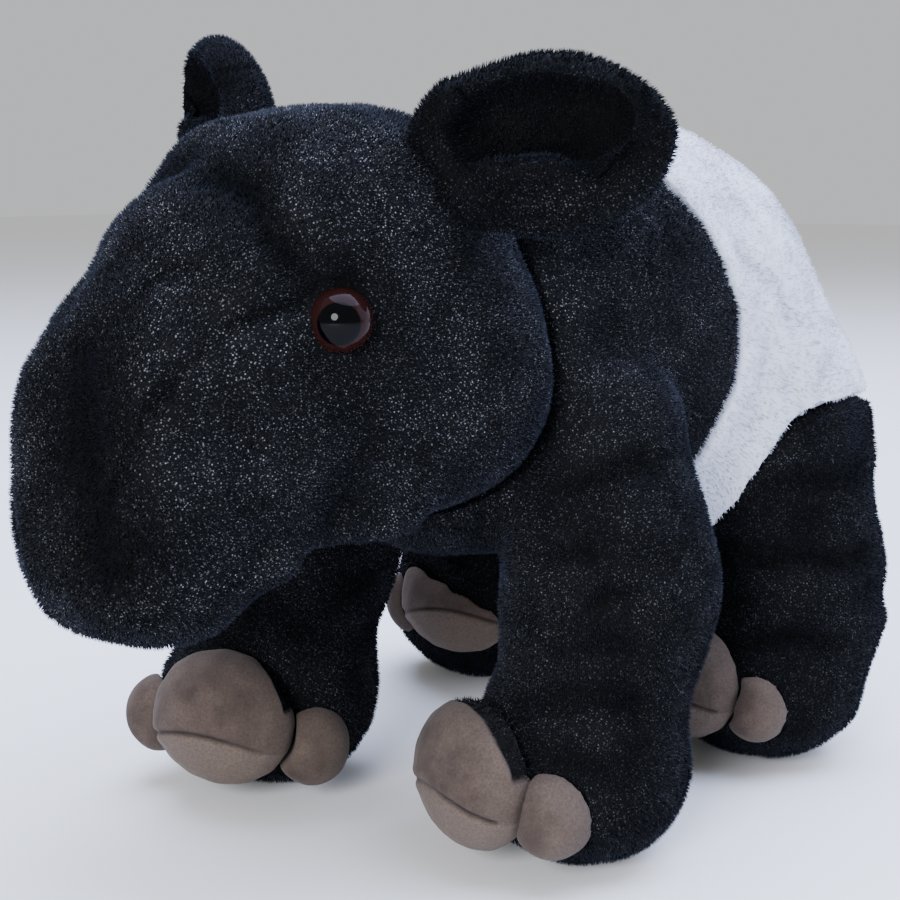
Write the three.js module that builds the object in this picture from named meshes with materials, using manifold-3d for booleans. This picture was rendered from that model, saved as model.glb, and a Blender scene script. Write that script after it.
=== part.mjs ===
// A stuffed plush Malayan tapir that stands on its four feet, its head low and turned a little to its right.
// Millimetres. +X is the tapir's left, -Y its front, +Z up. The origin is under its middle, on the floor.
// Each sewn piece is a closed skin over a smooth blend of round forms, and is cut clear of its neighbours.
import * as THREE from "three";
import { mergeVertices } from "three/addons/utils/BufferGeometryUtils.js";
import Module from "manifold-3d";

const wasm = await Module();
wasm.setup();

// Driving dimensions, in millimetres and degrees
const SEAM_GAP = 0.3; // clear space kept between two sewn pieces
const BACK_HEIGHT = 199;
const TORSO_HALF_WIDTH = 63;
const BARREL_HEIGHT = 132; // of the body's axis
const HEAD_YAW = 13; // the head's turn to the tapir's right
const HEAD_PIVOT = [0, -72];
const FILLET = { head: 14, torso: 16, leg: 12 }; // where two round forms flow together

// The head's forms, by how far each one's centre is ahead of the pivot and its height
const HEAD_FORMS = {
  nape: { forward: 13, height: 157, radii: [38, 35, 39], box: 2.6 },
  brow: { forward: 28, height: 160, radii: [45, 33, 34], box: 2.6 },
  cheeks: { forward: 8, height: 130, radii: [52, 40, 38], box: 2.3 },
  face: { forward: 43, height: 137, radii: [43, 40, 45.5], box: 2.6 },
  snout: { forward: 77, height: 111, radii: [33, 27, 42], box: 3, pitch: -6 },
};
const HEAD_SPINE = { back: { forward: 5, height: 140 }, front: { forward: 72, height: 112 } };
const EYE = { forward: 51, out: 42, height: 147, diameter: 15 };

// Ears: a padded leaf hollowed to a pocket that opens forwards. The two flop a little differently.
const EAR = { length: 65, height: 45, thickness: 26, rooted: 4, rim: 8, pocketHeight: 20, pocketRaise: 6 };
const EARS = {
  left: { side: 1, forward: 17, out: 33, height: 185, sweep: 32, lift: 3 },
  right: { side: -1, forward: 6, out: 53.5, height: 178, sweep: 17, lift: 36 },
};

// The torso's forms: chest, breast, barrel and rump on the middle line, and a haunch each side
const TORSO_FORMS = [
  { centre: [0, -30, 138], radii: [52, 50, 60] },
  { centre: [0, -48, 110], radii: [40, 38, 35] },
  { centre: [0, 6, BARREL_HEIGHT], radii: [TORSO_HALF_WIDTH, 60, BACK_HEIGHT - BARREL_HEIGHT] },
  { centre: [0, 50, 124], radii: [68, 54, 74] },
  { centre: [45, 61, 94], radii: [37, 37, 46] },
  { centre: [-45, 61, 94], radii: [37, 37, 46] },
];
const TORSO_SPINE = { front: [0, -36, 132], back: [0, 50, 128] };
const TAIL = { from: [-2, 95, 126], to: [-2, 108, 98], thick: 9, thin: 7 };

// The shoulder seam bows back halfway up the side
const SHOULDER_SEAM = { y: -4, bow: 14, height: 136, halfWave: 90, top: 230, bottom: 30 };
const CLEAR_AHEAD = -160; // in front of all of the torso
const CLEAR_BESIDE = 90; // wider than the torso
// The hips' black panels end in an arch at their front and run level to the back
const HIP_PANEL = { out: 64, y: 76, height: 60, radii: [50, 52, 52.4], box: 4.5 };

// How each leg stands: its axis at the hip, the knee and the floor, how far its toes turn in, how high they
// are carried, and how far its foot is splayed on its outer side
const LEGS = {
  front_left: { side: 1, hip: [42, -38, 112], knee: [52, -46, 74], foot: [48, -51], toeIn: 28, rise: 6 },
  front_right: {
    side: -1, hip: [-42, -38, 112], knee: [-52, -47, 74], foot: [-60, -50], toeIn: 9, rise: 6, splay: 6,
  },
  hind_left: { side: 1, hip: [46, 62, 88], knee: [53, 58, 50], foot: [49.5, 56], toeIn: 20, rise: 8 },
  hind_right: { side: -1, hip: [-46, 64, 88], knee: [-56, 68, 50], foot: [-68, 79], toeIn: 12, rise: 14 },
};
const LEG_RADII = { front: { hip: 25, knee: 27 }, hind: { hip: 34, knee: 32 } };
const ANKLE_LIFT = 4; // under the round end of the lower leg
const FOOT_PAD = { ahead: 4, height: 24, wider: 5, length: 27, rise: 24.5, box: 2.2 };
// Toes, from their foot's axis: a broad middle one and two small ones beside it. Each is lifted off the sole.
const TOES = {
  middle: { ahead: 33, out: -1, radii: [22.5, 14.5, 20], lift: 0.5 },
  outer: { ahead: 23, out: 21.5, radii: [10.5, 12, 12], lift: 3 },
  inner: { ahead: 22, out: -24, radii: [11, 12, 12], lift: 0 },
};

const { degToRad, clamp } = THREE.MathUtils;
const vector = (a) => new THREE.Vector3(...a);
function turnedBy({ yaw = 0, pitch = 0, roll = 0 }) {
  const angles = new THREE.Euler(degToRad(pitch), degToRad(roll), degToRad(yaw), "ZXY");
  return new THREE.Matrix4().makeRotationFromEuler(angles);
}

// A round solid's field: below zero inside, and close to a distance in millimetres near its surface.
// A box power of two gives an ellipsoid, and a higher one squares it off.
function rounded(centre, radii, { box = 2, ...turn } = {}) {
  const back = turnedBy(turn).invert();
  const c = vector(centre);
  const q = new THREE.Vector3();
  return (p) => {
    const parts = q.copy(p).sub(c).applyMatrix4(back).toArray().map((v, i) => Math.abs(v) / radii[i]);
    const size = parts.reduce((sum, v) => sum + v ** box, 0) ** (1 / box);
    const slope = size ** (1 - box) * Math.hypot(...parts.map((v, i) => v ** (box - 1) / radii[i]));
    return size < 1e-6 ? -Math.min(...radii) : (size - 1) / slope;
  };
}

// A limb that tapers between two balls
function limb(from, to, r1, r2) {
  const a = vector(from);
  const axis = vector(to).sub(a);
  const q = new THREE.Vector3();
  return (p) => {
    const t = clamp(q.copy(p).sub(a).dot(axis) / axis.lengthSq(), 0, 1);
    return q.addScaledVector(axis, -t).length() - (r1 + (r2 - r1) * t);
  };
}

// Fields joined with a fillet of about k millimetres
const blend = (k, ...fields) => (p) =>
  fields.map((f) => f(p)).reduce((a, b) => {
    const h = Math.max(k - Math.abs(a - b), 0) / k;
    return Math.min(a, b) - (h * h * k) / 4;
  });
const grown = (field, by) => (p) => field(p) - by;
const onFloor = (field) => (p) => Math.max(field(p), -p.z);

// How far along a ray a field first turns positive
function reach(field, from, along) {
  const p = new THREE.Vector3();
  const outside = (r) => field(p.copy(from).addScaledVector(along, r)) > 0;
  const step = 2;
  let far = step;
  while (!outside(far)) far += step;
  let near = far - step;
  for (let halving = 0; halving < 12; halving++) {
    const between = (near + far) / 2;
    if (outside(between)) far = between;
    else near = between;
  }
  return far;
}

// A closed skin over a field: a capsule round the spine from one point to another, moved out to the field
function wrap(field, from, to, { rings = 8, caps = 5, sides = 30 } = {}) {
  const spine = vector(to).sub(vector(from));
  const half = spine.length() / 2;
  const up = new THREE.Vector3(0, 1, 0);
  const turn = new THREE.Quaternion().setFromUnitVectors(up, spine.clone().normalize());
  const centre = vector(from).addScaledVector(spine, 0.5);
  const geometry = weld(new THREE.CapsuleGeometry(1, 2 * half, caps, sides, rings));
  const position = geometry.getAttribute("position");
  const root = new THREE.Vector3();
  const ray = new THREE.Vector3();
  for (let i = 0; i < position.count; i++) {
    ray.fromBufferAttribute(position, i);
    root.set(0, clamp(ray.y, -half, half), 0);
    ray.sub(root).normalize().applyQuaternion(turn);
    root.applyQuaternion(turn).add(centre);
    root.addScaledVector(ray, reach(field, root, ray));
    position.setXYZ(i, root.x, root.y, root.z);
  }
  return solid(geometry);
}

function ball(centre, radii, { sides = 16, ...turn } = {}) {
  const sphere = weld(new THREE.SphereGeometry(1, sides, sides / 2));
  return solid(sphere.scale(...radii).applyMatrix4(turnedBy(turn)).translate(...centre));
}

// A side view's outline of [y, z] points, made solid between two planes of x
function acrossBody(outline, from, to) {
  const shape = new THREE.Shape(outline.map(([y, z]) => new THREE.Vector2(y, z)));
  const slab = weld(new THREE.ExtrudeGeometry(shape, { depth: to - from, bevelEnabled: false }));
  const intoSideView = new THREE.Matrix4().set(0, 0, 1, from, 1, 0, 0, 0, 0, 1, 0, 0, 0, 0, 0, 1);
  return solid(slab.applyMatrix4(intoSideView));
}

function weld(geometry) {
  geometry.deleteAttribute("normal");
  geometry.deleteAttribute("uv");
  return mergeVertices(geometry);
}

function solid(geometry) {
  const vertProperties = new Float32Array(geometry.getAttribute("position").array);
  const corners = Array.from(geometry.getIndex().array);
  const faces = [];
  for (let i = 0; i < corners.length; i += 3) {
    const [a, b, c] = corners.slice(i, i + 3);
    if (a !== b && b !== c && c !== a) faces.push(a, b, c);
  }
  return new wasm.Manifold(new wasm.Mesh({ numProp: 3, vertProperties, triVerts: new Uint32Array(faces) }));
}

// Head and what sits on it
const headTurn = degToRad(HEAD_YAW);
const headAt = ({ forward, out = 0, height }, side = 1) => [
  HEAD_PIVOT[0] - Math.sin(headTurn) * forward + Math.cos(headTurn) * out * side,
  HEAD_PIVOT[1] - Math.cos(headTurn) * forward - Math.sin(headTurn) * out * side,
  height,
];
const headForms = Object.values(HEAD_FORMS).map(({ radii, box, pitch = 0, ...place }) =>
  rounded(headAt(place), radii, { yaw: -HEAD_YAW, pitch, box }),
);
const headField = blend(FILLET.head, ...headForms);
const head = (by = 0) =>
  wrap(grown(headField, by), headAt(HEAD_SPINE.back), headAt(HEAD_SPINE.front), { rings: 10 });

function ear({ side, sweep, lift, ...place }) {
  const turn = { yaw: -HEAD_YAW + side * sweep, roll: -side * lift };
  const root = vector(headAt(place, side));
  const leaf = (along, ahead, up, size) => {
    const centre = vector([side * along, -ahead, up]).applyMatrix4(turnedBy(turn)).add(root);
    return ball(centre.toArray(), size.map((s) => s / 2), { ...turn, sides: 24 });
  };
  const { length, height, thickness, rooted, rim, pocketHeight, pocketRaise } = EAR;
  const along = length / 2 - rooted;
  const pocket = leaf(along, thickness / 2, pocketRaise, [length - 2 * rim, thickness, pocketHeight]);
  return leaf(along, 0, 0, [length, thickness, height]).subtract(pocket);
}

// Plastic domes set on the face
const eye = (side) => ball(headAt(EYE, side), Array(3).fill(EYE.diameter / 2));

// Torso, the cuts that divide it, and the tail
const torsoField = blend(FILLET.torso, ...TORSO_FORMS.map(({ centre, radii }) => rounded(centre, radii)));
const torso = (by = 0) => wrap(grown(torsoField, by), TORSO_SPINE.front, TORSO_SPINE.back);

// All that is in front of the shoulder seam
function shoulderSide(shift = 0) {
  const { y, bow, height, halfWave, top, bottom } = SHOULDER_SEAM;
  const step = 8;
  const outline = [[CLEAR_AHEAD, top], [CLEAR_AHEAD, bottom]];
  for (let z = bottom; z <= top; z += step) {
    const wave = Math.cos(((z - height) / halfWave) * Math.PI);
    outline.push([y + bow * wave + shift, z]);
  }
  return acrossBody(outline, -CLEAR_BESIDE, CLEAR_BESIDE);
}

function hipPanel(side, by = 0) {
  const { out, y, height, radii, box } = HIP_PANEL;
  const at = (z) => [side * out, y, z];
  const field = grown(rounded(at(height), radii, { box }), by);
  return wrap(field, at(height - 1), at(height + 1), { rings: 1, caps: 8, sides: 24 });
}

function tail() {
  const field = limb(TAIL.from, TAIL.to, TAIL.thick, TAIL.thin);
  return wrap(field, TAIL.from, TAIL.to, { rings: 3, caps: 4, sides: 14 });
}

// Legs and toes
function footFrame({ side, foot, toeIn }) {
  const a = degToRad(toeIn) * side;
  const at = (ahead, out, height) => [
    foot[0] - Math.sin(a) * ahead + Math.cos(a) * out * side,
    foot[1] - Math.cos(a) * ahead - Math.sin(a) * out * side,
    height,
  ];
  return { yaw: -toeIn * side, at };
}

function leg(spec, radii, by = 0) {
  const { yaw, at } = footFrame(spec);
  const { splay = 0 } = spec;
  const { ahead, height, wider, length, rise, box } = FOOT_PAD;
  const ankle = at(0, 0, radii.knee + ANKLE_LIFT);
  const field = blend(
    FILLET.leg,
    limb(spec.hip, spec.knee, radii.hip, radii.knee),
    limb(spec.knee, ankle, radii.knee, radii.knee - 1),
    rounded(at(ahead, splay / 2, height), [radii.knee + wider + splay / 2, length, rise], { yaw, box }),
  );
  return wrap(grown(onFloor(field), by), spec.hip, at(ahead, 0, height), { rings: 10, sides: 22 });
}

function toe(spec, { ahead, out, radii, lift }, by = 0) {
  const { yaw, at } = footFrame(spec);
  const { splay = 0, rise } = spec;
  const centre = at(ahead, out + (out > 0 ? splay : 0), radii[2] + lift + rise);
  return ball(centre, radii.map((r) => r + by), { yaw });
}

// Assembly
const black = { color: 0x0b0c0f, roughness: 0.9 };
const cream = { color: 0xe6e3dc, roughness: 0.95 };
const taupe = { color: 0x8a7a74, roughness: 0.9 };
const brown = { color: 0x2a0f0a, roughness: 0.1 };
const toy = new THREE.Group();
function add(name, made, look) {
  const [whole] = made.decompose().sort((a, b) => b.volume() - a.volume());
  const { vertProperties, triVerts } = whole.getMesh();
  const geometry = new THREE.BufferGeometry();
  geometry.setAttribute("position", new THREE.BufferAttribute(vertProperties, 3));
  geometry.setIndex(new THREE.BufferAttribute(triVerts, 1));
  const piece = new THREE.Mesh(geometry, new THREE.MeshStandardMaterial({ metalness: 0, ...look }));
  piece.name = name;
  toy.add(piece);
}

const CUT_MARGIN = 0.1; // keeps a cut off the face that it runs along
const headClear = head(SEAM_GAP);
const torsoClear = torso(SEAM_GAP);
const body = torso().subtract(headClear);
const hindBody = body.subtract(shoulderSide(SEAM_GAP));
const withoutHips = (made, by) => made.subtract(hipPanel(1, by)).subtract(hipPanel(-1, by));
const saddleClear = withoutHips(torsoClear, CUT_MARGIN);
add("head", head(), black);
add("torso_front", body.intersect(shoulderSide()), black);
add("torso_saddle", withoutHips(hindBody, SEAM_GAP + CUT_MARGIN), cream);
add("tail", tail().subtract(torsoClear), cream);
for (const name in EARS) {
  add(`ear_${name}`, ear(EARS[name]).subtract(headClear), black);
  add(`eye_${name}`, eye(EARS[name].side).subtract(headClear), brown);
}
for (const name in LEGS) {
  const spec = LEGS[name];
  const [end] = name.split("_");
  const tube = leg(spec, LEG_RADII[end]);
  const withHip = () => tube.add(hindBody.intersect(hipPanel(spec.side))).subtract(saddleClear);
  add(`leg_${name}`, end === "hind" ? withHip() : tube.subtract(torsoClear).subtract(headClear), black);
  const legClear = leg(spec, LEG_RADII[end], SEAM_GAP);
  const middleClear = toe(spec, TOES.middle, SEAM_GAP);
  for (const which in TOES) {
    const clear = toe(spec, TOES[which]).subtract(legClear);
    add(`toe_${name}_${which}`, which === "middle" ? clear : clear.subtract(middleClear), taupe);
  }
}
const bounds = new THREE.Box3().setFromObject(toy);
const middle = bounds.getCenter(new THREE.Vector3());
toy.position.set(-middle.x, -middle.y, 0);

export default toy;
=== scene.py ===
"""A stuffed plush Malayan tapir: its sewn skins, their pile, its eyes and stitched toes, on a pale floor.

Lengths in the classes are millimetres. The pattern's own places, which the sizes below use, have their zero
on the toy's middle line under its barrel, with +X to its left, -Y to its front and +Z up.
"""

import logging
import math
from dataclasses import dataclass, field
from enum import Enum
from typing import Callable, Sequence

import bpy
import numpy as np
from mathutils import Matrix, Vector
from mathutils.bvhtree import BVHTree


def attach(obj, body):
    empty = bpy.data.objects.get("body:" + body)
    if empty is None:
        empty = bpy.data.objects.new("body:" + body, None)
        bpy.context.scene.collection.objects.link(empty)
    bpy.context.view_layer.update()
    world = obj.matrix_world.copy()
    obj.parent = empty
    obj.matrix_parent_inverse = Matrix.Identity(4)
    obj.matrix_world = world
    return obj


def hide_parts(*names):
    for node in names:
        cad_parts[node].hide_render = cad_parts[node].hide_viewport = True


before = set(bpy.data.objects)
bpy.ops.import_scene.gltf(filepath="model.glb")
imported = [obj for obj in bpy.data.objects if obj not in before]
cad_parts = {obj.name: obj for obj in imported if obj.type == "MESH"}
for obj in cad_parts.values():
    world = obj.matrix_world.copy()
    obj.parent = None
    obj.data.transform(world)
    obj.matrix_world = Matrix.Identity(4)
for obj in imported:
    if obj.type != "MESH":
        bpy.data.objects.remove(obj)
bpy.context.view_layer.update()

log = logging.getLogger("tapir")
MM = 0.001
PATTERN_ZERO = (8.28, 30.84, 0.0)  # in the model's frame
HEAD_YAW = math.radians(13)
HEAD_PIVOT = (0.0, -72.0)
MOST_TUFTS = 48000  # of four triangles each, which keeps a coat piece under 200,000
Array = np.ndarray
Points = Sequence[tuple[float, float, float]]


class Slot(Enum):
    """The material slots."""

    BLACK = "black_plush"
    CREAM = "cream_plush"
    TAUPE = "taupe_plush"
    EYE = "eye_plastic"


def placed(points: Points) -> Array:
    """Turn pattern places in millimetres into the model's metres."""
    return (np.asarray(points, float) + PATTERN_ZERO) * MM


def on_head(points: Points) -> Array:
    """Turn places on the head into the model's metres.

    Args:
        points: how far each is ahead of the neck's pivot, how far to the head's left, and its height.

    Returns:
        The places, one row each.
    """
    ahead, left, height = np.asarray(points, float).T
    x = HEAD_PIVOT[0] - math.sin(HEAD_YAW) * ahead + math.cos(HEAD_YAW) * left
    y = HEAD_PIVOT[1] - math.cos(HEAD_YAW) * ahead - math.sin(HEAD_YAW) * left
    return placed(np.stack([x, y, height], 1))


def mirrored(points: Points) -> list[tuple[float, float, float]]:
    """Give head places on the other side of the head."""
    return [(ahead, -left, height) for ahead, left, height in points]


def on_side(points: Points, sign: int) -> Array:
    """Place a line of the pattern's left side, or its mirror image where the sign is -1."""
    return placed([(x * sign, y, z) for x, y, z in points])


def linear(colour: str) -> tuple[float, float, float, float]:
    """Turn an sRGB hex colour into the linear one that a socket takes."""
    parts = [int(colour[i : i + 2], 16) / 255 for i in (1, 3, 5)]
    r, g, b = (c / 12.92 if c <= 0.04045 else ((c + 0.055) / 1.055) ** 2.4 for c in parts)
    return r, g, b, 1.0


def unit(vectors: Array) -> Array:
    """Scale each row to a length of one."""
    return vectors / np.maximum(np.linalg.norm(vectors, axis=1, keepdims=True), 1e-12)


def fade(values: Array, low: float, high: float) -> Array:
    """Rise smoothly from 0 at low to 1 at high."""
    t = np.clip((values - low) / (high - low), 0, 1)
    return t * t * (3 - 2 * t)


def to_line(co: Array, line: Array) -> Array:
    """Measure how far each point is from a line of straight stretches.

    Args:
        co: places in metres.
        line: the line's own points.

    Returns:
        One distance a place.
    """
    best = np.full(len(co), np.inf)
    for a, b in zip(line[:-1], line[1:]):
        along = b - a
        t = np.clip((co - a) @ along / (along @ along), 0, 1)
        best = np.minimum(best, np.linalg.norm(co - a - t[:, None] * along, axis=1))
    return best


def uneven(co: Array, wave: float, seed: int) -> Array:
    """Give a smooth unevenness from -1 to 1 over space.

    Args:
        co: places in metres.
        wave: its typical wavelength, in millimetres.
        seed: picks the pattern.

    Returns:
        One value a place.
    """
    waves, shortest, longest, crest = 10, 0.6, 1.7, 4
    rng = np.random.default_rng(seed)
    total = np.zeros(len(co))
    for _ in range(waves):
        way = unit(rng.normal(size=(1, 3)))[0]
        turns = 2 * math.pi / (wave * MM * rng.uniform(shortest, longest))
        total += np.sin(co @ way * turns + rng.uniform(0, 2 * math.pi))
    return np.clip(total / crest, -1, 1)


# Finishes


def add_node(tree: bpy.types.NodeTree, kind: str, inputs: dict | None = None, **settings) -> bpy.types.Node:
    """Add a node with its settings, and set or link its inputs.

    Args:
        tree: the material's nodes.
        kind: the node's type.
        inputs: a value or another node's output for each input, by its name or number.
        settings: the node's own properties.

    Returns:
        The new node.
    """
    node = tree.nodes.new(kind)
    for name, value in settings.items():
        setattr(node, name, value)
    for name, value in (inputs or {}).items():
        if isinstance(value, bpy.types.NodeSocket):
            tree.links.new(value, node.inputs[name])
        else:
            node.inputs[name].default_value = value
    return node


def blank(name: str) -> tuple[bpy.types.Material, bpy.types.NodeTree]:
    """Make a material with no nodes in it yet, and give it with its node tree."""
    material = bpy.data.materials.new(name)
    material.use_nodes = True
    material.node_tree.nodes.clear()
    return material, material.node_tree


def close(tree: bpy.types.NodeTree, shader: bpy.types.Node) -> None:
    """Link a shader to the material's output."""
    add_node(tree, "ShaderNodeOutputMaterial", {"Surface": shader.outputs[0]})


@dataclass(frozen=True)
class PlushPile:
    """Upright polyester pile, knitted and sheared.

    Its fibres stand on end and swallow most light, so it looks soft and deep, and each tuft's foot is
    painted darker than its tip, as painted shade. Its glints are painted on as fine pale dots, and its edges
    look hazy against the light.
    """

    name: str
    root: str
    in_shade: str
    in_light: str
    painted_glint: str
    roughness: float = 0.75
    specular: float = 0.05
    sheen: float = 0.06
    sheen_roughness: float = 0.35
    sheen_tint: str = "#8a99c4"
    painted_glint_cell: float = 0.66
    painted_glint_radius: float = 0.4
    painted_glint_core: float = 0.4
    painted_glint_rarity: float = 1.6

    def material(self) -> bpy.types.Material:
        """Build the finish.

        Red of the pile attribute is the rise from the foot, painted in shade, to the tip; green a tone set by
        random patches and by painted light and shade; and blue how many painted glints it takes.

        Returns:
            The material.
        """
        material, tree = blank(self.name)
        pile = add_node(tree, "ShaderNodeAttribute", attribute_name="pile")
        parts = add_node(tree, "ShaderNodeSeparateColor", {0: pile.outputs["Color"]})
        # The tone runs from the colour of painted shade to that of painted light
        shading = {0: parts.outputs["Green"], 6: linear(self.in_shade), 7: linear(self.in_light)}
        shade = add_node(tree, "ShaderNodeMix", shading, data_type="RGBA")
        # Each tuft's foot is painted darker, as painted shade deep in the pile
        rise = {0: parts.outputs["Red"], 6: linear(self.root), 7: shade.outputs[2]}
        rising = add_node(tree, "ShaderNodeMix", rise, data_type="RGBA")
        where = add_node(tree, "ShaderNodeTexCoord").outputs["Object"]
        # Painted glints: a fibre's glint is a tenth of this across on the toy,
        # and it is drawn coarser so that it shows
        scale = 1 / (self.painted_glint_cell * MM)
        cells = add_node(tree, "ShaderNodeTexVoronoi", {"Vector": where, "Scale": scale})
        dot = add_node(
            tree,
            "ShaderNodeMapRange",
            {
                "Value": cells.outputs["Distance"],
                "From Min": self.painted_glint_radius * self.painted_glint_core,
                "From Max": self.painted_glint_radius,
                "To Min": 1.0,
                "To Max": 0.0,
            },
        )
        chance = add_node(tree, "ShaderNodeSeparateColor", {0: cells.outputs["Color"]})
        rarity = {0: chance.outputs["Red"], 1: self.painted_glint_rarity}
        glint = add_node(tree, "ShaderNodeMath", rarity, operation="POWER")
        for share in (dot.outputs[0], parts.outputs["Blue"]):
            glint = add_node(tree, "ShaderNodeMath", {0: glint.outputs[0], 1: share}, operation="MULTIPLY")
        # The painted glints are mixed into the colour
        lighting = {0: glint.outputs[0], 6: rising.outputs[2], 7: linear(self.painted_glint)}
        lit = add_node(tree, "ShaderNodeMix", lighting, data_type="RGBA")
        shader = add_node(
            tree,
            "ShaderNodeBsdfPrincipled",
            {
                "Base Color": lit.outputs[2],
                "Roughness": self.roughness,
                "Specular IOR Level": self.specular,
                "Sheen Weight": self.sheen,
                "Sheen Roughness": self.sheen_roughness,
                "Sheen Tint": linear(self.sheen_tint),
            },
        )
        close(tree, shader)
        return material


@dataclass(frozen=True)
class Velour:
    """Short-napped knitted velour: matt and finely grained, and mottled where its nap was brushed back."""

    name: str
    colour: str
    shade: str
    lower: str
    thread: str = "#1d1714"
    black: str = "#020203"
    nap: float = 0.7
    nap_low: float = 0.3
    nap_high: float = 0.7
    nap_hollows: float = 0.38
    patch: float = 8.0
    patch_low: float = 0.32
    patch_high: float = 0.68
    detail: float = 2.0
    depth: float = 0.2
    bump: float = 0.7
    roughness: float = 0.9
    specular: float = 0.15
    sheen: float = 0.05
    sheen_roughness: float = 0.5

    def material(self) -> bpy.types.Material:
        """Build the finish.

        Red of the velour attribute is a stitched seam, green the paler rim or lower panel, and blue where
        black plush covers the toe.

        Returns:
            The material.
        """
        material, tree = blank(self.name)
        mark = add_node(tree, "ShaderNodeAttribute", attribute_name="velour")
        parts = add_node(tree, "ShaderNodeSeparateColor", {0: mark.outputs["Color"]})
        where = add_node(tree, "ShaderNodeTexCoord").outputs["Object"]
        # The nap is finer than this on the toy: it is drawn coarser so that its grain shows
        mottle, grain = (
            add_node(tree, "ShaderNodeTexNoise", {"Vector": where, "Scale": 1 / size, "Detail": self.detail})
            for size in (self.patch * MM, self.nap * MM)
        )
        patches = {"Value": mottle.outputs["Fac"], "From Min": self.patch_low, "From Max": self.patch_high}
        brushed = add_node(tree, "ShaderNodeMapRange", patches)
        hollows = add_node(
            tree,
            "ShaderNodeMapRange",
            {
                "Value": grain.outputs["Fac"],
                "From Min": self.nap_low,
                "From Max": self.nap_high,
                "To Min": self.nap_hollows,
                "To Max": 0.0,
            },
        )
        look = linear(self.shade)
        for share, over in (
            (brushed.outputs[0], self.colour),
            (parts.outputs["Green"], self.lower),
            (hollows.outputs[0], self.thread),
            (parts.outputs["Red"], self.thread),
            (parts.outputs["Blue"], self.black),
        ):
            mixing = {0: share, 6: look, 7: linear(over)}
            look = add_node(tree, "ShaderNodeMix", mixing, data_type="RGBA").outputs[2]
        relief = {"Height": grain.outputs["Fac"], "Distance": self.depth * MM, "Strength": self.bump}
        bump = add_node(tree, "ShaderNodeBump", relief)
        shader = add_node(
            tree,
            "ShaderNodeBsdfPrincipled",
            {
                "Base Color": look,
                "Normal": bump.outputs[0],
                "Roughness": self.roughness,
                "Specular IOR Level": self.specular,
                "Sheen Weight": self.sheen,
                "Sheen Roughness": self.sheen_roughness,
            },
        )
        close(tree, shader)
        return material


@dataclass(frozen=True)
class EyePlastic:
    """A moulded acrylic safety eye: a red-brown ring painted round a black pupil, under a polished dome."""

    name: str = "painted_acrylic"
    iris: str = "#1c0c0b"
    rim: str = "#1a0907"
    pupil: str = "#020203"
    pupil_edge: float = 0.64
    iris_from: float = 0.67
    iris_to: float = 0.86
    roughness: float = 0.06
    ior: float = 1.49
    specular: float = 0.08

    def material(self) -> bpy.types.Material:
        """Build the finish.

        The eye attribute is the distance from the dome's crown, as a share of its radius.

        Returns:
            The material.
        """
        material, tree = blank(self.name)
        out = add_node(tree, "ShaderNodeAttribute", attribute_name="eye")
        ramp = add_node(tree, "ShaderNodeValToRGB", {"Fac": out.outputs["Fac"]})
        marks = ramp.color_ramp.elements
        marks[0].color, marks[1].color = linear(self.pupil), linear(self.rim)
        for share, colour in (
            (self.pupil_edge, self.pupil), (self.iris_from, self.iris), (self.iris_to, self.iris)
        ):
            marks.new(share).color = linear(colour)
        shader = add_node(
            tree,
            "ShaderNodeBsdfPrincipled",
            {
                "Base Color": ramp.outputs[0],
                "Roughness": self.roughness,
                "IOR": self.ior,
                "Specular IOR Level": self.specular,
            },
        )
        close(tree, shader)
        return material


# Its root colour is painted shade deep in the pile, the next two are the colours of painted shade and painted
# light, and the last is that of its painted glints
BLACK_PILE = PlushPile(
    "black_polyester_pile",
    root="#010101",
    in_shade="#020303",
    in_light="#202124",
    painted_glint="#8b8d91",
)
# Its root colour is painted shade deep in the pile and the next is painted shade in its folds; its cool blue
# cast is painted sky light
CREAM_PILE = PlushPile(
    "cream_polyester_pile",
    root="#c9cdd8",
    in_shade="#8d9099",
    in_light="#f4f6fb",
    painted_glint="#ffffff",
    specular=0.3,
    sheen_tint="#ffffff",
)
TAUPE_VELOUR = Velour("taupe_velour", colour="#4f433b", shade="#3b312b", lower="#5c5047")


# Sewing


@dataclass(frozen=True)
class Crease:
    """A line pressed or sewn into a skin, or raised where its depth is below zero, and how dark it is: this
    is painted shade in a crease of the pile, and the dark thread along a toe's stitched seam.
    """

    line: Array
    width: float
    depth: float
    dim: float | None = None


def creased(rows: Sequence[tuple], place: Callable[[Points], Array]) -> list[Crease]:
    """Lay lines that are given with their width, depth and, where it differs, darkness."""
    return [Crease(place(line), *rest) for line, *rest in rows]


@dataclass(frozen=True)
class Pile:
    """How the pile stands on a skin, in millimetres and tufts for each square millimetre.

    Its light and its glints are shares of what its finish has. Its light is painted light, which makes a
    whole piece lighter or darker for how the light falls on it, and its glints are painted. Its last values
    say how deep a tuft is rooted, how strongly and widely it is brushed aside, how the tufts scatter and
    differ in height, lean and width, how far up the shades the bare skin reads, and how much of the shade is
    even, patchy and painted shade in a crease.
    """

    lie: Callable[[Array], Array]
    stand: float = 1.35
    lean: float = 0.75
    density: float = 2.3
    base: float = 0.22
    # Painted light: paints the whole piece lighter or darker for how the light falls on it
    light: float = 1.0
    # A share of the finish's painted glints
    painted_glints: float = 1.0
    mixed: float = 0.5
    finish: PlushPile = BLACK_PILE
    rooted: float = 0.4
    brushed: float = 0.5
    brushed_wave: float = 14.0
    scatter: float = 0.33
    heights: tuple[float, float] = (0.75, 1.2)
    leans: tuple[float, float] = (0.6, 1.3)
    widths: tuple[float, float] = (0.75, 1.25)
    foot_rise: float = 0.3
    even: float = 0.62
    patchy: float = 0.38
    patch_wave: float = 18.0
    # Painted shade: how much of the tone a crease takes away
    crease_shade: float = 0.97


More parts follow.
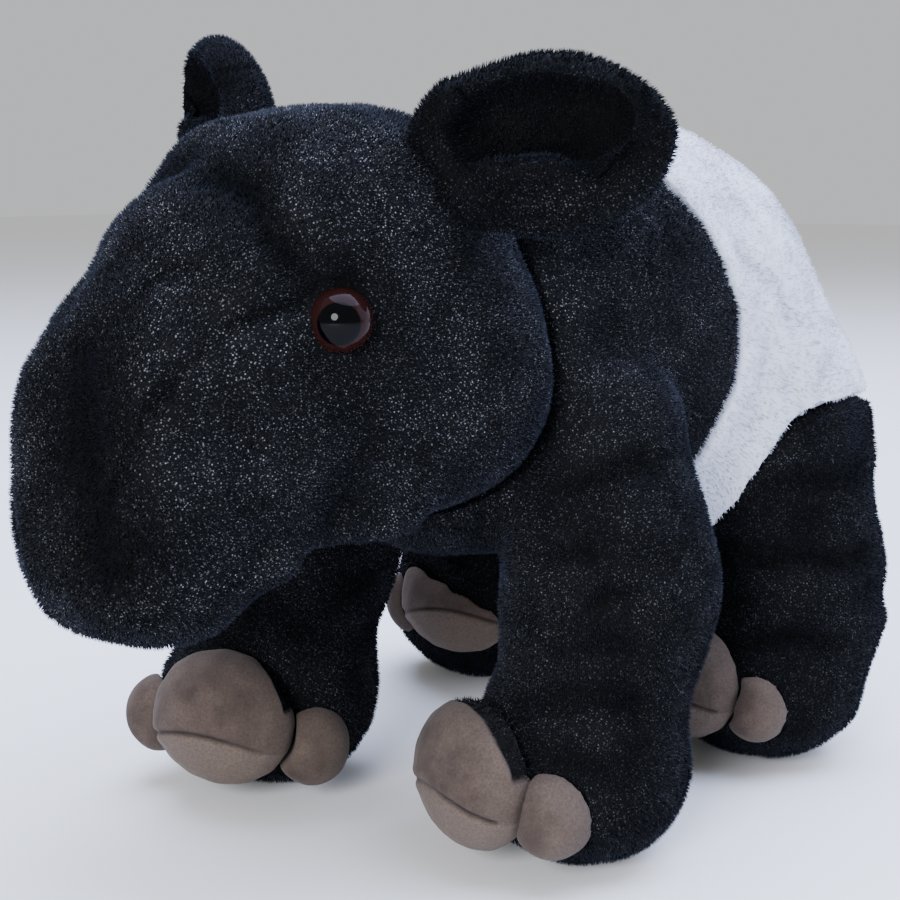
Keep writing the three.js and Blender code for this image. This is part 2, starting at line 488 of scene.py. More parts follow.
@dataclass
class Skin:
    """A sewn and stuffed piece, shaped from the solids that it stands for."""

    name: str
    nodes: tuple[str, ...]
    slot: Slot
    pile: Pile
    creases: list[Crease] = field(default_factory=list)
    bare: list[tuple[Vector, float]] = field(default_factory=list)
    voxel: float = 1.8
    rounds: int = 22
    lumps: float = 0.5
    seed: int = 1
    fill: float = 0.9
    deepest: float = 2.4
    tucked: float = 3.6
    near: float = 1.6
    lump_waves: tuple[float, float] = (26.0, 11.0)
    small_lumps: float = 0.35
    shortest: float = 0.3
    full_from: float = 1.6

    def make(self) -> None:
        """Sew the skin, dress it, grow its pile and hand everything over."""
        piece = self.joined()
        co, normals = self.shaped(piece)
        covered = self.in_open_air(piece, co, normals) * self.cover(co)
        co = co - normals * (self.pile.stand * MM * covered)[:, None]
        write_places(piece, co)
        co, normals = read_skin(piece)
        push, dim = self.pressed(co)
        write_places(piece, co - normals * push[:, None])
        piece.data.materials.clear()
        self.dress(piece, co, dim)
        shade_smooth(piece)
        hand_over(piece, self.slot, *self.nodes)
        log.info("%s: %d faces", self.name, len(piece.data.polygons))
        self.grow(piece, covered, dim)

    def cover(self, co: Array) -> Array:
        """Say how far the pile covers each place: all of it."""
        return np.ones(len(co))

    def dress(self, piece: bpy.types.Object, co: Array, dim: Array) -> None:
        """Give the skin the look of its pile's foot.

        Args:
            piece: the skin.
            co: each point's place.
            dim: how much painted shade a crease puts there.
        """
        rise = np.full(len(co), self.pile.foot_rise)
        paint(piece, "pile", tints(co, dim, rise, self.pile, self.seed))
        piece.data.materials.append(self.pile.finish.material())

    def joined(self) -> bpy.types.Object:
        """Copy the solids, join them and skin them anew with even faces.

        Returns:
            The new skin.
        """
        bpy.ops.object.select_all(action="DESELECT")
        for name in self.nodes:
            copy = bpy.data.objects.new(self.name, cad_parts[name].data.copy())
            bpy.context.scene.collection.objects.link(copy)
            copy.select_set(True)
            bpy.context.view_layer.objects.active = copy
        bpy.ops.object.join()
        piece = bpy.context.view_layer.objects.active
        piece.name = piece.data.name = self.name
        bpy.ops.object.mode_set(mode="EDIT")
        bpy.ops.mesh.select_all(action="SELECT")
        bpy.ops.mesh.remove_doubles(threshold=0.01 * MM)
        bpy.ops.object.mode_set(mode="OBJECT")
        remesh = piece.modifiers.new("even", "REMESH")
        remesh.mode = "VOXEL"
        remesh.voxel_size = self.voxel * MM
        bpy.ops.object.modifier_apply(modifier=remesh.name)
        return piece

    def shaped(self, piece: bpy.types.Object) -> tuple[Array, Array]:
        """Round off the facets and add the filling's lumps.

        Args:
            piece: the skin, still as its solids are.

        Returns:
            Each point's place and normal.
        """
        co, _ = read_skin(piece)
        ends = edge_ends(piece)
        eased = relaxed(co, ends, self.rounds)
        eased = eased + relaxed(co - eased, ends, self.rounds)
        write_places(piece, eased)
        co, normals = read_skin(piece)
        large, small = self.lump_waves
        lumps = uneven(co, large, self.seed) * self.lumps
        lumps += uneven(co, small, self.seed + 50) * self.lumps * self.small_lumps
        write_places(piece, co + normals * (lumps * MM)[:, None])
        return read_skin(piece)

    def in_open_air(self, piece: bpy.types.Object, co: Array, normals: Array) -> Array:
        """Tell the points that show from those that press on another piece.

        Args:
            piece: the skin.
            co: each point's place.
            normals: each point's normal.

        Returns:
            1 where the skin is free or just inside a seam, falling to 0 deep inside it.
        """
        inside = 0.5
        tree = neighbours(self.nodes)
        free = np.ones(len(co))
        for i, (place, normal) in enumerate(zip(co, normals)):
            along = Vector(normal)
            if tree.ray_cast(Vector(place) - along * inside * MM, along, self.near * MM)[0] is not None:
                free[i] = 0
        ends = edge_ends(piece)
        for _ in range(round(self.tucked / self.voxel)):
            spread = free.copy()
            np.maximum.at(spread, ends[:, 0], free[ends[:, 1]])
            np.maximum.at(spread, ends[:, 1], free[ends[:, 0]])
            free = spread
        return free

    def pressed(self, co: Array) -> tuple[Array, Array]:
        """Work out what the creases do to each point.

        Args:
            co: each point's place.

        Returns:
            How far it is pushed in, and how dark it is painted, which is painted shade in the pile and the
            seam's thread on a toe.
        """
        push = np.zeros(len(co))
        lit = np.ones(len(co))
        for crease in self.creases:
            share = np.exp(-((to_line(co, crease.line) / (crease.width * MM)) ** 2))
            push += share * crease.depth * MM
            dim = crease.depth / self.deepest if crease.dim is None else crease.dim
            lit *= 1 - np.clip(share * dim, 0, 1)
        return push, 1 - lit

    def grow(self, piece: bpy.types.Object, open_air: Array, pressed: Array) -> None:
        """Cover the skin's open faces with tufts, in coat pieces of as many tufts as one may have.

        Args:
            piece: the finished skin.
            open_air: how free each point is.
            pressed: how much painted shade the creases put on each point.
        """
        pile = self.pile
        rng = np.random.default_rng(self.seed)
        lay_out(piece)
        mesh = piece.data
        mesh.calc_loop_triangles()
        count = len(mesh.loop_triangles)
        corners, loops = np.zeros(count * 3, np.int32), np.zeros(count * 3, np.int32)
        mesh.loop_triangles.foreach_get("vertices", corners)
        mesh.loop_triangles.foreach_get("loops", loops)
        corners, loops = corners.reshape(-1, 3), loops.reshape(-1, 3)
        flat = np.zeros(len(mesh.loops) * 2, np.float32)
        mesh.uv_layers["OFBake"].data.foreach_get("uv", flat)
        flat = flat.reshape(-1, 2)
        co, normals = read_skin(piece)
        a, b, c = (co[corners[:, i]] for i in range(3))
        area = np.linalg.norm(np.cross(b - a, c - a), axis=1) / 2
        area *= open_air[corners].min(axis=1)
        total = int(area.sum() / MM**2 * pile.density)
        if not total:
            return
        chosen = np.sort(rng.choice(count, total, p=area / area.sum()))
        u, v = rng.random(total), rng.random(total)
        over = u + v > 1
        u[over], v[over] = 1 - u[over], 1 - v[over]
        weights = np.stack([1 - u - v, u, v], 1)[:, :, None]
        roots = (co[corners[chosen]] * weights).sum(1)
        up = unit((normals[corners[chosen]] * weights).sum(1))
        on_map = (flat[loops[chosen]] * weights).sum(1)
        dim = (pressed[corners[chosen]] * weights[:, :, 0]).sum(1)
        keep, height = self.trimmed(roots)
        roots, up, on_map, height, dim = roots[keep], up[keep], on_map[keep], height[keep], dim[keep]
        parts = math.ceil(len(roots) / MOST_TUFTS)
        for k, rows in enumerate(np.array_split(np.arange(len(roots)), parts)):
            name = f"pile_{self.name}" + (f"_{k + 1}" if parts > 1 else "")
            given = (values[rows] for values in (roots, up, on_map, height, dim))
            hand_over(tufts(name, pile, *given, seed=self.seed + k), self.slot)
        log.info("%s: %d tufts in %d pieces", self.name, len(roots), parts)

    def trimmed(self, roots: Array) -> tuple[Array, Array]:
        """Leave the bare places free of tufts, and shear those that stand round them.

        Args:
            roots: each tuft's place on the skin.

        Returns:
            Which tufts stay, and how tall each is, as a share of the pile's height.
        """
        keep = np.ones(len(roots), bool)
        height = np.ones(len(roots))
        for centre, radius in self.bare:
            away = np.linalg.norm(roots - np.array(centre), axis=1) / (radius * MM)
            keep &= away > 1
            height *= self.shortest + (1 - self.shortest) * fade(away, 1, self.full_from)
        return keep, height


def relaxed(values: Array, ends: Array, rounds: int) -> Array:
    """Even out values over a mesh, each round moving a point half way to its neighbours' mean.

    Args:
        values: a row for each point.
        ends: the two points of each edge.
        rounds: how often to do it.

    Returns:
        The evened values.
    """
    count = np.bincount(ends.ravel(), minlength=len(values))[:, None]
    values = values.copy()
    for _ in range(rounds):
        total = np.stack(
            [
                np.bincount(ends[:, 0], values[ends[:, 1], k], len(values))
                + np.bincount(ends[:, 1], values[ends[:, 0], k], len(values))
                for k in range(3)
            ],
            1,
        )
        values += 0.5 * (total / np.maximum(count, 1) - values)
    return values


def paint(piece: bpy.types.Object, name: str, values: Array) -> None:
    """Keep four values for each point of a mesh as a colour attribute."""
    mark = piece.data.attributes.new(name, "FLOAT_COLOR", "POINT")
    mark.data.foreach_set("color", values.astype(np.float32).ravel())


def tints(co: Array, dim: Array, rise: Array, pile: Pile, seed: int) -> Array:
    """Work out the pile attribute.

    Args:
        co: places on the skin.
        dim: how much painted shade a crease puts there.
        rise: 0 at the pile's foot and 1 at its tip.
        pile: how much painted light it has and how many painted glints.
        seed: varies the brushed patches.

    Returns:
        Rise, shade, glint and 1 for each place.
    """
    # The shade channel: random brushed patches, then painted shade in creases and the piece's painted light;
    # the painted glints follow it
    lit = np.clip(pile.even + pile.patchy * uneven(co, pile.patch_wave, seed + 31), 0, 1)
    lit *= 1 - pile.crease_shade * dim
    return np.stack([rise, lit * pile.light, lit * pile.painted_glints, np.ones(len(co))], 1)


def edge_ends(piece: bpy.types.Object) -> Array:
    """Read the two points of each edge."""
    ends = np.zeros(len(piece.data.edges) * 2, np.int32)
    piece.data.edges.foreach_get("vertices", ends)
    return ends.reshape(-1, 2)


def read_skin(piece: bpy.types.Object) -> tuple[Array, Array]:
    """Read each point's place and normal.

    Args:
        piece: an object with a mesh.

    Returns:
        The places and the normals, one row a point.
    """
    mesh = piece.data
    mesh.update()
    co = np.zeros(len(mesh.vertices) * 3, np.float32)
    mesh.vertices.foreach_get("co", co)
    normals = np.zeros(len(mesh.vertices) * 3, np.float32)
    mesh.vertex_normals.foreach_get("vector", normals)
    return co.reshape(-1, 3).astype(float), normals.reshape(-1, 3).astype(float)


def write_places(piece: bpy.types.Object, co: Array) -> None:
    """Move a mesh's points to new places."""
    piece.data.vertices.foreach_set("co", co.astype(np.float32).ravel())
    piece.data.update()


def neighbours(own: Sequence[str]) -> BVHTree:
    """Gather the solids that aren't a piece's own, for finding what lies against it.

    Args:
        own: the piece's own nodes.

    Returns:
        Their faces, ready for casting rays at.
    """
    co: list[Vector] = []
    faces: list[tuple[int, ...]] = []
    for name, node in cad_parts.items():
        if name not in own:
            faces += [tuple(i + len(co) for i in f.vertices) for f in node.data.polygons]
            co += [v.co.copy() for v in node.data.vertices]
    return BVHTree.FromPolygons(co, faces)


def shade_smooth(piece: bpy.types.Object) -> None:
    """Shade all of a mesh's faces smooth."""
    piece.data.polygons.foreach_set("use_smooth", np.ones(len(piece.data.polygons), bool))


def lay_out(piece: bpy.types.Object) -> None:
    """Unwrap a skin by its own shape.

    Args:
        piece: the skin.
    """
    bpy.ops.object.select_all(action="DESELECT")
    piece.select_set(True)
    bpy.context.view_layer.objects.active = piece
    while piece.data.uv_layers:
        piece.data.uv_layers.remove(piece.data.uv_layers[0])
    piece.data.uv_layers.new(name="OFBake")
    bpy.ops.object.mode_set(mode="EDIT")
    bpy.ops.mesh.select_all(action="SELECT")
    bpy.ops.uv.smart_project(angle_limit=math.radians(66), island_margin=0.004)
    bpy.ops.object.mode_set(mode="OBJECT")


def hand_over(piece: bpy.types.Object, slot: Slot, *nodes: str) -> None:
    """Let a finished piece ride on the toy, in place of its solids.

    Args:
        piece: the piece.
        slot: not used.
        nodes: the solids that it stands for.
    """
    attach(piece, "root")
    if nodes:
        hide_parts(*nodes)


def tufts(
    name: str, pile: Pile, roots: Array, up: Array, on_map: Array, height: Array, dim: Array, seed: int
) -> bpy.types.Object:
    """Build one coat piece: a slender closed spike for each tuft.

    Args:
        name: the piece's name.
        pile: how it stands.
        roots: each tuft's place on the skin.
        up: the skin's normal there.
        on_map: its place on the skin's unwrap.
        height: its height, as a share of the pile's.
        dim: how much painted shade a crease puts on it.
        seed: varies the tufts.

    Returns:
        The coat piece.
    """
    above_floor, patch = 0.2, 0.0015
    rng = np.random.default_rng(seed + 900)
    count = len(roots)
    aside = np.stack([uneven(roots, pile.brushed_wave, seed + k) for k in (11, 12, 13)], 1)
    lie = pile.lie(roots) + aside * pile.brushed + rng.normal(size=(count, 3)) * pile.scatter
    lie = unit(lie - up * (lie * up).sum(1, keepdims=True))
    across = np.cross(up, lie)
    stand = pile.stand * MM * height * rng.uniform(*pile.heights, count)
    lean = pile.lean * MM * height * rng.uniform(*pile.leans, count)
    tips = roots + up * stand[:, None] + lie * lean[:, None]
    tips[:, 2] = np.maximum(tips[:, 2], above_floor * MM)
    foot = roots - up * pile.rooted * MM
    turn = rng.uniform(0, 2 * math.pi, count)
    radius = pile.base * MM * rng.uniform(*pile.widths, count)
    co = np.zeros((count, 4, 3))
    uv = np.zeros((count, 4, 2))
    co[:, 3], uv[:, 3] = tips, on_map
    for k in range(3):
        angle = turn + k * 2 * math.pi / 3
        ring = np.stack([np.cos(angle), np.sin(angle)], 1)
        co[:, k] = foot - (across * ring[:, :1] - lie * ring[:, 1:]) * radius[:, None]
        uv[:, k] = on_map + patch * ring
    tint = np.repeat(tints(roots, dim, np.zeros(count), pile, seed)[:, None], 4, 1)
    tint[:, 3, 0] = 1
    tint[:, :, 1] *= rng.uniform(1 - pile.mixed, 1 + pile.mixed, count)[:, None]
    faces = np.array([[0, 1, 3], [1, 2, 3], [2, 0, 3], [0, 2, 1]])
    corners = (np.arange(count)[:, None, None] * 4 + faces).ravel()
    mesh = bpy.data.meshes.new(name)
    mesh.vertices.add(count * 4)
    mesh.vertices.foreach_set("co", co.astype(np.float32).ravel())
    mesh.loops.add(len(corners))
    mesh.loops.foreach_set("vertex_index", corners.astype(np.int32))
    mesh.polygons.add(count * 4)
    mesh.polygons.foreach_set("loop_start", np.arange(0, len(corners), 3, dtype=np.int32))
    layer = mesh.uv_layers.new(name="OFBake")
    layer.data.foreach_set("uv", uv.reshape(-1, 2)[corners].astype(np.float32).ravel())
    mark = mesh.attributes.new("pile", "FLOAT_COLOR", "POINT")
    mark.data.foreach_set("color", tint.astype(np.float32).ravel())
    mesh.materials.append(pile.finish.material())
    mesh.update(calc_edges=True)
    mesh.validate()
    coat = bpy.data.objects.new(name, mesh)
    bpy.context.scene.collection.objects.link(coat)
    shade_smooth(coat)
    return coat


# The toy's pieces


def towards(x: float, y: float, z: float) -> Callable[[Array], Array]:
    """Give a lie that is the same way all over a piece."""
    way = unit(np.array([[x, y, z]]))
    return lambda co: np.repeat(way, len(co), 0)


@dataclass
class Head:
    """The head: a snout gusset sewn between two side panels, with a pressed brow and a mouth on each side.

    The nose and what is pressed beside it are on the left side only, as the toy's filling lies.
    """

    snout_seam: Points = (
        (104, 12, 96), (103, 18, 106), (99, 24, 116), (95, 27, 127), (86, 30, 138), (74, 33, 148),
        (60, 40, 152),
    )
    brow: Points = ((63, 10, 182), (62.5, 23, 178), (63.5, 29, 172.5), (63, 32, 168), (60.5, 36.5, 163))
    eye_hollow: Points = ((57, 40, 155.6), (53, 41.5, 157), (48, 43.5, 156))
    brow_dip: Points = ((62, 9, 183), (63, 18, 179))
    cheek: Points = ((50, 44, 138), (45, 44, 126), (41, 41, 114), (43, 35, 104), (47, 28, 97))
    snout_hollow: Points = (
        (99.6, 8, 137), (101.8, 10.5, 126), (102.6, 13, 115), (102.3, 16.5, 105), (101.5, 20, 96)
    )
    nose: Points = ((101.5, -10.8, 128.5), (103.5, -8.6, 115), (104.5, -7.5, 105.9), (104.3, -5, 89.8))
    jaw: Points = ((57, 27, 91), (50, 27, 94), (42, 25, 94), (34, 27, 95), (25, 31, 97))
    snout_fold: Points = ((92, 10, 148), (88, 13, 152), (83, 13, 157), (78, 19, 160))
    mouth: Points = ((66, 34, 95), (60, 34, 95), (54, 32, 94), (49, 30, 92))
    bump: Points = (
        (-27, -118.3, 188.1), (-25.5, -123.4, 185.6), (-24.3, -131.7, 180.3), (-21.3, -136.8, 177.5)
    )
    eye: tuple[float, float, float] = (51, 42, 147)
    eye_bare: float = 7.2

    def creases(self) -> list[Crease]:
        """Lay the head's lines, most of them on both of its sides.

        Returns:
            The creases.
        """
        # Each line's width, depth and painted shade; a line with no depth is only painted shade
        paired = (
            (self.snout_seam, 2.3, 1.9, 1.0),
            (self.brow, 6.5, 3.0, 1.0),
            (self.brow_dip, 10.0, 2.5, 0.95),
            (self.eye_hollow, 6.0, 1.8, 1.0),
            (self.cheek, 9.0, 2.0, 0.6),
            (self.snout_fold, 2.6, 1.2, 0.6),
            (self.mouth, 3.5, 2.4, 1.0),
            (self.jaw, 8.0, -6.0, 0.0),
        )
        left = (
            (self.snout_hollow, 12.0, 2.6, 1.0),
            (self.snout_hollow, 17.0, 0.0, 0.8),
            (self.nose, 9.0, -1.6, 0.0),
        )
        return (
            creased(paired, on_head)
            + creased(paired, lambda line: on_head(mirrored(line)))
            + creased(left, on_head)
            + creased([(self.bump, 14.0, -2.4, 0.0)], placed)
        )

    def make(self) -> None:
        """Sew the head and its eyes."""
        eyes = {"left": on_head([self.eye])[0], "right": on_head(mirrored([self.eye]))[0]}
        # Dents round the eyes, with painted shade in them
        dents = [Crease(np.stack([place, place + 1e-6]), 9.0, 0.5, 0.45) for place in eyes.values()]
        Skin(
            "head_skin",
            ("head",),
            Slot.BLACK,
            Pile(self.lie),
            creases=self.creases() + dents,
            bare=[(Vector(place), self.eye_bare) for place in eyes.values()],
            seed=3,
        ).make()
        for side, place in eyes.items():
            SafetyEye(side, Vector(place)).make()

    def lie(self, co: Array) -> Array:
        """The pile lies back from the nose and down the cheeks."""
        back = np.array([math.sin(HEAD_YAW), math.cos(HEAD_YAW), -0.35])
        return np.repeat(back[None], len(co), 0)


@dataclass
class SafetyEye:
    """A domed eye with its crown facing out of the head, sunk so that the pile hides its rim."""

    side: str
    centre: Vector
    diameter: float = 15.0
    turned_out: float = math.radians(47.4)
    droop: float = 0.06
    sunk: float = 1.5

    def make(self) -> None:
        """Turn a fine ball into the dome, mark it out from its crown and set it in the head."""
        sign = 1 if self.side == "left" else -1
        facing = sign * self.turned_out - HEAD_YAW
        crown = Vector((math.sin(facing), -math.cos(facing), -self.droop)).normalized()
        centre = self.centre - crown * self.sunk * MM
        radius = self.diameter / 2 * MM
        bpy.ops.object.select_all(action="DESELECT")
        bpy.ops.mesh.primitive_uv_sphere_add(segments=64, ring_count=48, radius=radius, location=centre)
        dome = bpy.context.view_layer.objects.active
        dome.name = dome.data.name = f"eye_dome_{self.side}"
        bpy.ops.object.transform_apply(location=True, rotation=True, scale=True)
        co, _ = read_skin(dome)
        ahead = (co - np.array(centre)) @ np.array(crown) / radius
        share = np.sqrt(np.clip(1 - ahead**2, 0, 1))
        share[ahead < 0] = 1
        mark = dome.data.attributes.new("eye", "FLOAT", "POINT")
        mark.data.foreach_set("value", share.astype(np.float32))
        dome.data.materials.append(EyePlastic().material())
        shade_smooth(dome)
        hand_over(dome, Slot.EYE, f"eye_{self.side}")
        log.info("%s: set", dome.name)


@dataclass
class Forebody:
    """The front of the torso and both front legs, which are cut from the same panels."""

    left_folds: Sequence[tuple[Points, float, float]] = (
        (((52, -66, 104), (60, -61, 107), (66, -53, 109)), 4.5, 2.2),
        (((49, -74, 85), (52, -73, 87), (57, -72, 88)), 3.5, 1.6),
        (((62, -74, 73.5), (66, -72, 77), (73, -67, 78)), 2.6, 2.6),
        (((60, -74, 62), (66, -71, 63.5), (71, -68, 63)), 3.0, 1.6),
        (((40, -78, 46), (55, -77, 50), (72, -65, 49)), 4.0, 1.8),
        (((50, -84, 38), (58, -81, 37), (68, -76, 34)), 3.5, 1.8),
    )
    right_folds: Sequence[tuple[Points, float, float]] = (
        (((-52, -66, 100), (-62, -58, 104), (-68, -48, 102)), 4.5, 2.0),
        (((-40, -74, 80), (-52, -76, 84), (-62, -70, 82)), 3.0, 2.0),
        (((-45, -78, 62), (-58, -78, 60), (-72, -68, 63)), 3.5, 2.0),
        (((-45, -80, 46), (-60, -80, 48), (-76, -68, 45)), 4.0, 1.6),
    )
    # Lines down the front legs with no depth, which are only painted shade, and how dark it is
    shaded_legs: Sequence[Points] = (((60, -62, 85), (60, -62, 10)), ((-62, -60, 85), (-64, -60, 10)))
    leg_shade: float = 0.65

    def make(self) -> None:
        """Sew the forebody, with painted shade down its front legs."""
        folds = creased((*self.left_folds, *self.right_folds), placed)
        folds += creased([(line, 30.0, 0.0, self.leg_shade) for line in self.shaded_legs], placed)
        Skin(
            "forebody_skin",
            ("torso_front", "leg_front_left", "leg_front_right"),
            Slot.BLACK,
            # Its pile is painted lighter, for the light on its flanks, with fewer painted glints
            Pile(self.lie, light=1.4, painted_glints=0.75),
            creases=folds,
            seed=7,
        ).make()

    def lie(self, co: Array) -> Array:
        """The pile lies back over the withers and straight down the legs."""
        down = fade(-co[:, 2], -0.13, -0.07)
        return np.stack([0 * down, 0.7 - 0.7 * down, -0.5 - 0.6 * down], 1)


@dataclass
class Saddle:
    """The cream middle and rump, and the stub of a tail."""

    # Each fold's last number is its painted shade; the last, wide line has no depth and is only painted shade
    # low on the flank
    folds: Sequence[tuple[Points, float, float, float]] = (
        (((57.6, 17.8, 158), (60.5, 26.9, 151.5), (63, 33.4, 145.4), (65.1, 35.7, 137.8)), 4.0, 1.1, 0.8),
        (((64.4, 23.9, 130), (63.9, 22.8, 121.3), (63.3, 21.9, 112.6), (62, 21.3, 103.8)), 3.2, 1.0, 0.8),
        (((73.2, 51.6, 125), (72.9, 45.1, 120.3), (72.8, 41.4, 114)), 3.5, 1.8, 0.8),
        (((71, 36, 110), (68.6, 32.2, 115.4), (67.1, 31.1, 120)), 2.8, 1.3, 0.8),
        (((60, 18, 98), (63, 22, 112), (68, 36, 122)), 24.0, 0.0, 0.8),
    )
    pile: Pile = field(
        default_factory=lambda: Pile(
            towards(0, 0.8, -0.6),
            stand=1.0,
            lean=0.9,
            density=0.75,
            base=0.3,
            painted_glints=0.0,
            mixed=0.15,
            finish=CREAM_PILE,
        )
    )

    def make(self) -> None:
        """Sew the saddle, with the folds the hips pull and painted shade in both flanks, and the tail."""
        folds = creased(self.folds, placed) + creased(self.folds, lambda line: on_side(line, -1))
        cream = Slot.CREAM
        Skin("saddle_skin", ("torso_saddle",), cream, self.pile, creases=folds, seed=11).make()
        Skin("tail_skin", ("tail",), cream, self.pile, voxel=1.0, rounds=10, seed=11).make()


@dataclass
class HindLeg:
    """A hind leg with its hip panel, sewn into the saddle."""

    side: str
    folds: Sequence[tuple[Points, float, float]] = (
        (((63, 28, 88), (70, 34, 91.5), (77, 44, 89.5), (82, 60, 90)), 4.5, 1.8),
        (((61, 27, 67), (71, 33, 69), (82, 45, 66), (88, 58, 68)), 4.0, 2.0),
        (((63, 24, 44), (73, 30, 45), (83, 40, 42)), 3.5, 1.8),
        (((84, 62, 52), (80, 76, 50), (70, 88, 52)), 4.0, 2.0),
    )
    right_swell: Points = ((-83, 43, 46), (-84, 44, 62))

    def make(self) -> None:
        """Sew the leg."""
        sign = 1 if self.side == "left" else -1
        folds = creased(self.folds, lambda line: on_side(line, sign))
        if self.side == "right":
            folds.append(Crease(placed(self.right_swell), 8.0, -3.5, 0.0))
        Skin(
            f"hind_{self.side}_skin",
            (f"leg_hind_{self.side}",),
            Slot.BLACK,
            # The pile is painted darker, as the shade that the hind leg stands in, with fewer painted glints
            Pile(towards(0, 0.15, -1), light=0.6, painted_glints=0.35),
            creases=folds,
            seed=21 + sign,
        ).make()


@dataclass
class Ear:
    """A padded ear whose pile is painted darker, as shade, and darker still in its hollow front above
    a folded lower lobe.

    Its lines are given along the ear from its root, ahead of its middle plane, and up across it.
    """

    side: str
    forward: float
    out: float
    height: float
    sweep: float
    lift: float
    slot_line: Points = ((12, 9, -3), (20, 4, -0.3), (28, 1.3, 2.3), (34, 2.5, 1.5), (40, 7, -2))
    dip: Points = ((40, 10, -3), (46, 9.5, -7), (51, 8, -4))
    lobe: Points = ((18, 10, -5), (26, 9.5, -4.5), (34, 10, -5))
    hollow: Points = ((10, 5, 6), (28, 1, 7), (46, 5, 5))
    root: Points = ((7, 6, 11), (1, 6, 4), (0, 8, -3), (4, 8, -8), (8, 6, -14))

    def placed_on_ear(self, points: Points) -> Array:
        """Turn places on the ear into the model's metres.

        Args:
            points: how far each is along the ear, ahead of its middle plane and up across it.

        Returns:
            The places, one row each.
        """
        sign = 1 if self.side == "left" else -1
        yaw = -HEAD_YAW + math.radians(sign * self.sweep)
        roll = math.radians(-sign * self.lift)
        turn = Matrix.Rotation(yaw, 3, "Z") @ Matrix.Rotation(roll, 3, "Y")
        root = on_head([(self.forward, sign * self.out, self.height)])[0]
        local = np.array([(sign * along, -ahead, up) for along, ahead, up in points]) * MM
        return local @ np.array(turn).T + root

    def make(self) -> None:
        """Sew the ear."""
        sign = 1 if self.side == "left" else -1
        # Each line's width, depth and painted shade; the hollow, with no depth, is only painted shade
        lines = (
            (self.slot_line, 3.5, 3.0, 1.0),
            (self.dip, 5.0, 4.0, 0.8),
            (self.lobe, 4.0, -1.6, 0.0),
            (self.hollow, 14.0, 0.0, 1.0),
            (self.root, 6.0, -4.0, 0.0),
        )
        Skin(
            f"ear_{self.side}_skin",
            (f"ear_{self.side}",),
            Slot.BLACK,
            # The pile is painted darker, as shade, with fewer painted glints
            Pile(towards(sign, 0.3, 0.1), stand=1.3, light=0.3, painted_glints=0.4),
            creases=creased(lines, self.placed_on_ear),
            voxel=1.1,
            rounds=14,
            lumps=0.3,
            seed=31 + sign,
        ).make()


@dataclass(frozen=True)
class Foot:
    """Where a foot stands, how far its toes turn in, how high they are carried and how far it splays.

    Its edge says how far ahead the leg's plush comes over the middle toe, at places across the foot.
    """

    name: str
    side: int
    place: tuple[float, float]
    toe_in: float
    rise: float
    edge: Sequence[tuple[float, float]] = ((-22, 33), (-6, 35.6), (15, 35.3), (22, 33))
    splay: float = 0.0

    def at(self, points: Points) -> Array:
        """Turn places on the foot into the model's metres.

        Args:
            points: how far each is ahead of the foot's axis, out from it and above the floor.

        Returns:
            The places, one row each.
        """
        a = math.radians(self.toe_in) * self.side
        ahead, out, height = np.asarray(points, float).T
        x = self.place[0] - math.sin(a) * ahead + math.cos(a) * out * self.side
        y = self.place[1] - math.cos(a) * ahead - math.sin(a) * out * self.side
        return placed(np.stack([x, y, height], 1))

    def local(self, co: Array) -> tuple[Array, Array, Array]:
        """Turn the model's metres into places on the foot.

        Args:
            co: the places.

        Returns:
            How far ahead each is, how far out, and its height, in millimetres.
        """
        a = math.radians(self.toe_in) * self.side
        x, y, z = (co / MM - PATTERN_ZERO).T
        x, y = x - self.place[0], y - self.place[1]
        return -math.sin(a) * x - math.cos(a) * y, self.side * (math.cos(a) * x - math.sin(a) * y), z


@dataclass(frozen=True)
class Toe:
    """A toe's place and half sizes, and for a middle one its stitched seam and the plush's lower end."""

    name: str
    ahead: float
    out: float
    radii: tuple[float, float, float]
    lift: float
    seam: float | None = None
    seam_bow: float = 0.014
    lowest: float = 24.5


@dataclass
class ToeSkin(Skin):
    """A velour toe. The middle one is stitched across its front, and covered by plush at its back."""

    foot: Foot | None = None
    toe: Toe | None = None
    rim: tuple[float, float] = (0.55, 1.1)
    rim_pale: float = 0.55

    def spread(self) -> float:
        """Give how far the foot's splay carries this toe out."""
        return self.foot.splay if self.toe.out > 0 else 0.0

    def cover(self, co: Array) -> Array:
        """Cover the back of a middle toe with plush, and nothing of another toe.

        Args:
            co: each point's place.

        Returns:
            How far the plush covers it, from 0 to 1.
        """
        if self.toe.seam is None:
            return np.zeros(len(co))
        ahead, out, height = self.foot.local(co)
        edge = np.interp(out, *np.transpose(self.foot.edge))
        return fade(edge - ahead, -0.8, 0.8) * fade(height - self.toe.lowest - self.foot.rise, -1.0, 1.2)

    def seam_height(self, out: Array) -> Array:
        """Give the height of the stitched seam at places across the toe."""
        return self.toe.seam + self.foot.rise - self.toe.seam_bow * out**2

    def dress(self, piece: bpy.types.Object, co: Array, dim: Array) -> None:
        """Give the toe its velour, with its seam, its paler rim and lower panel, and its plush cover.

        Args:
            piece: the skin.
            co: each point's place.
            dim: how dark the stitches make it there.
        """
        _, out, height = self.foot.local(co)
        toe = self.toe
        middle = toe.radii[2] + toe.lift + self.foot.rise
        aside = (out - toe.out - self.spread()) / toe.radii[0]
        pale = self.rim_pale * fade(np.hypot(aside, (height - middle) / toe.radii[2]), *self.rim)
        if toe.seam is not None:
            pale = np.maximum(pale, fade(self.seam_height(out) - height, -0.3, 0.9))
        paint(piece, "velour", np.stack([dim, pale, self.cover(co), np.ones(len(co))], 1))
        piece.data.materials.append(TAUPE_VELOUR.material())


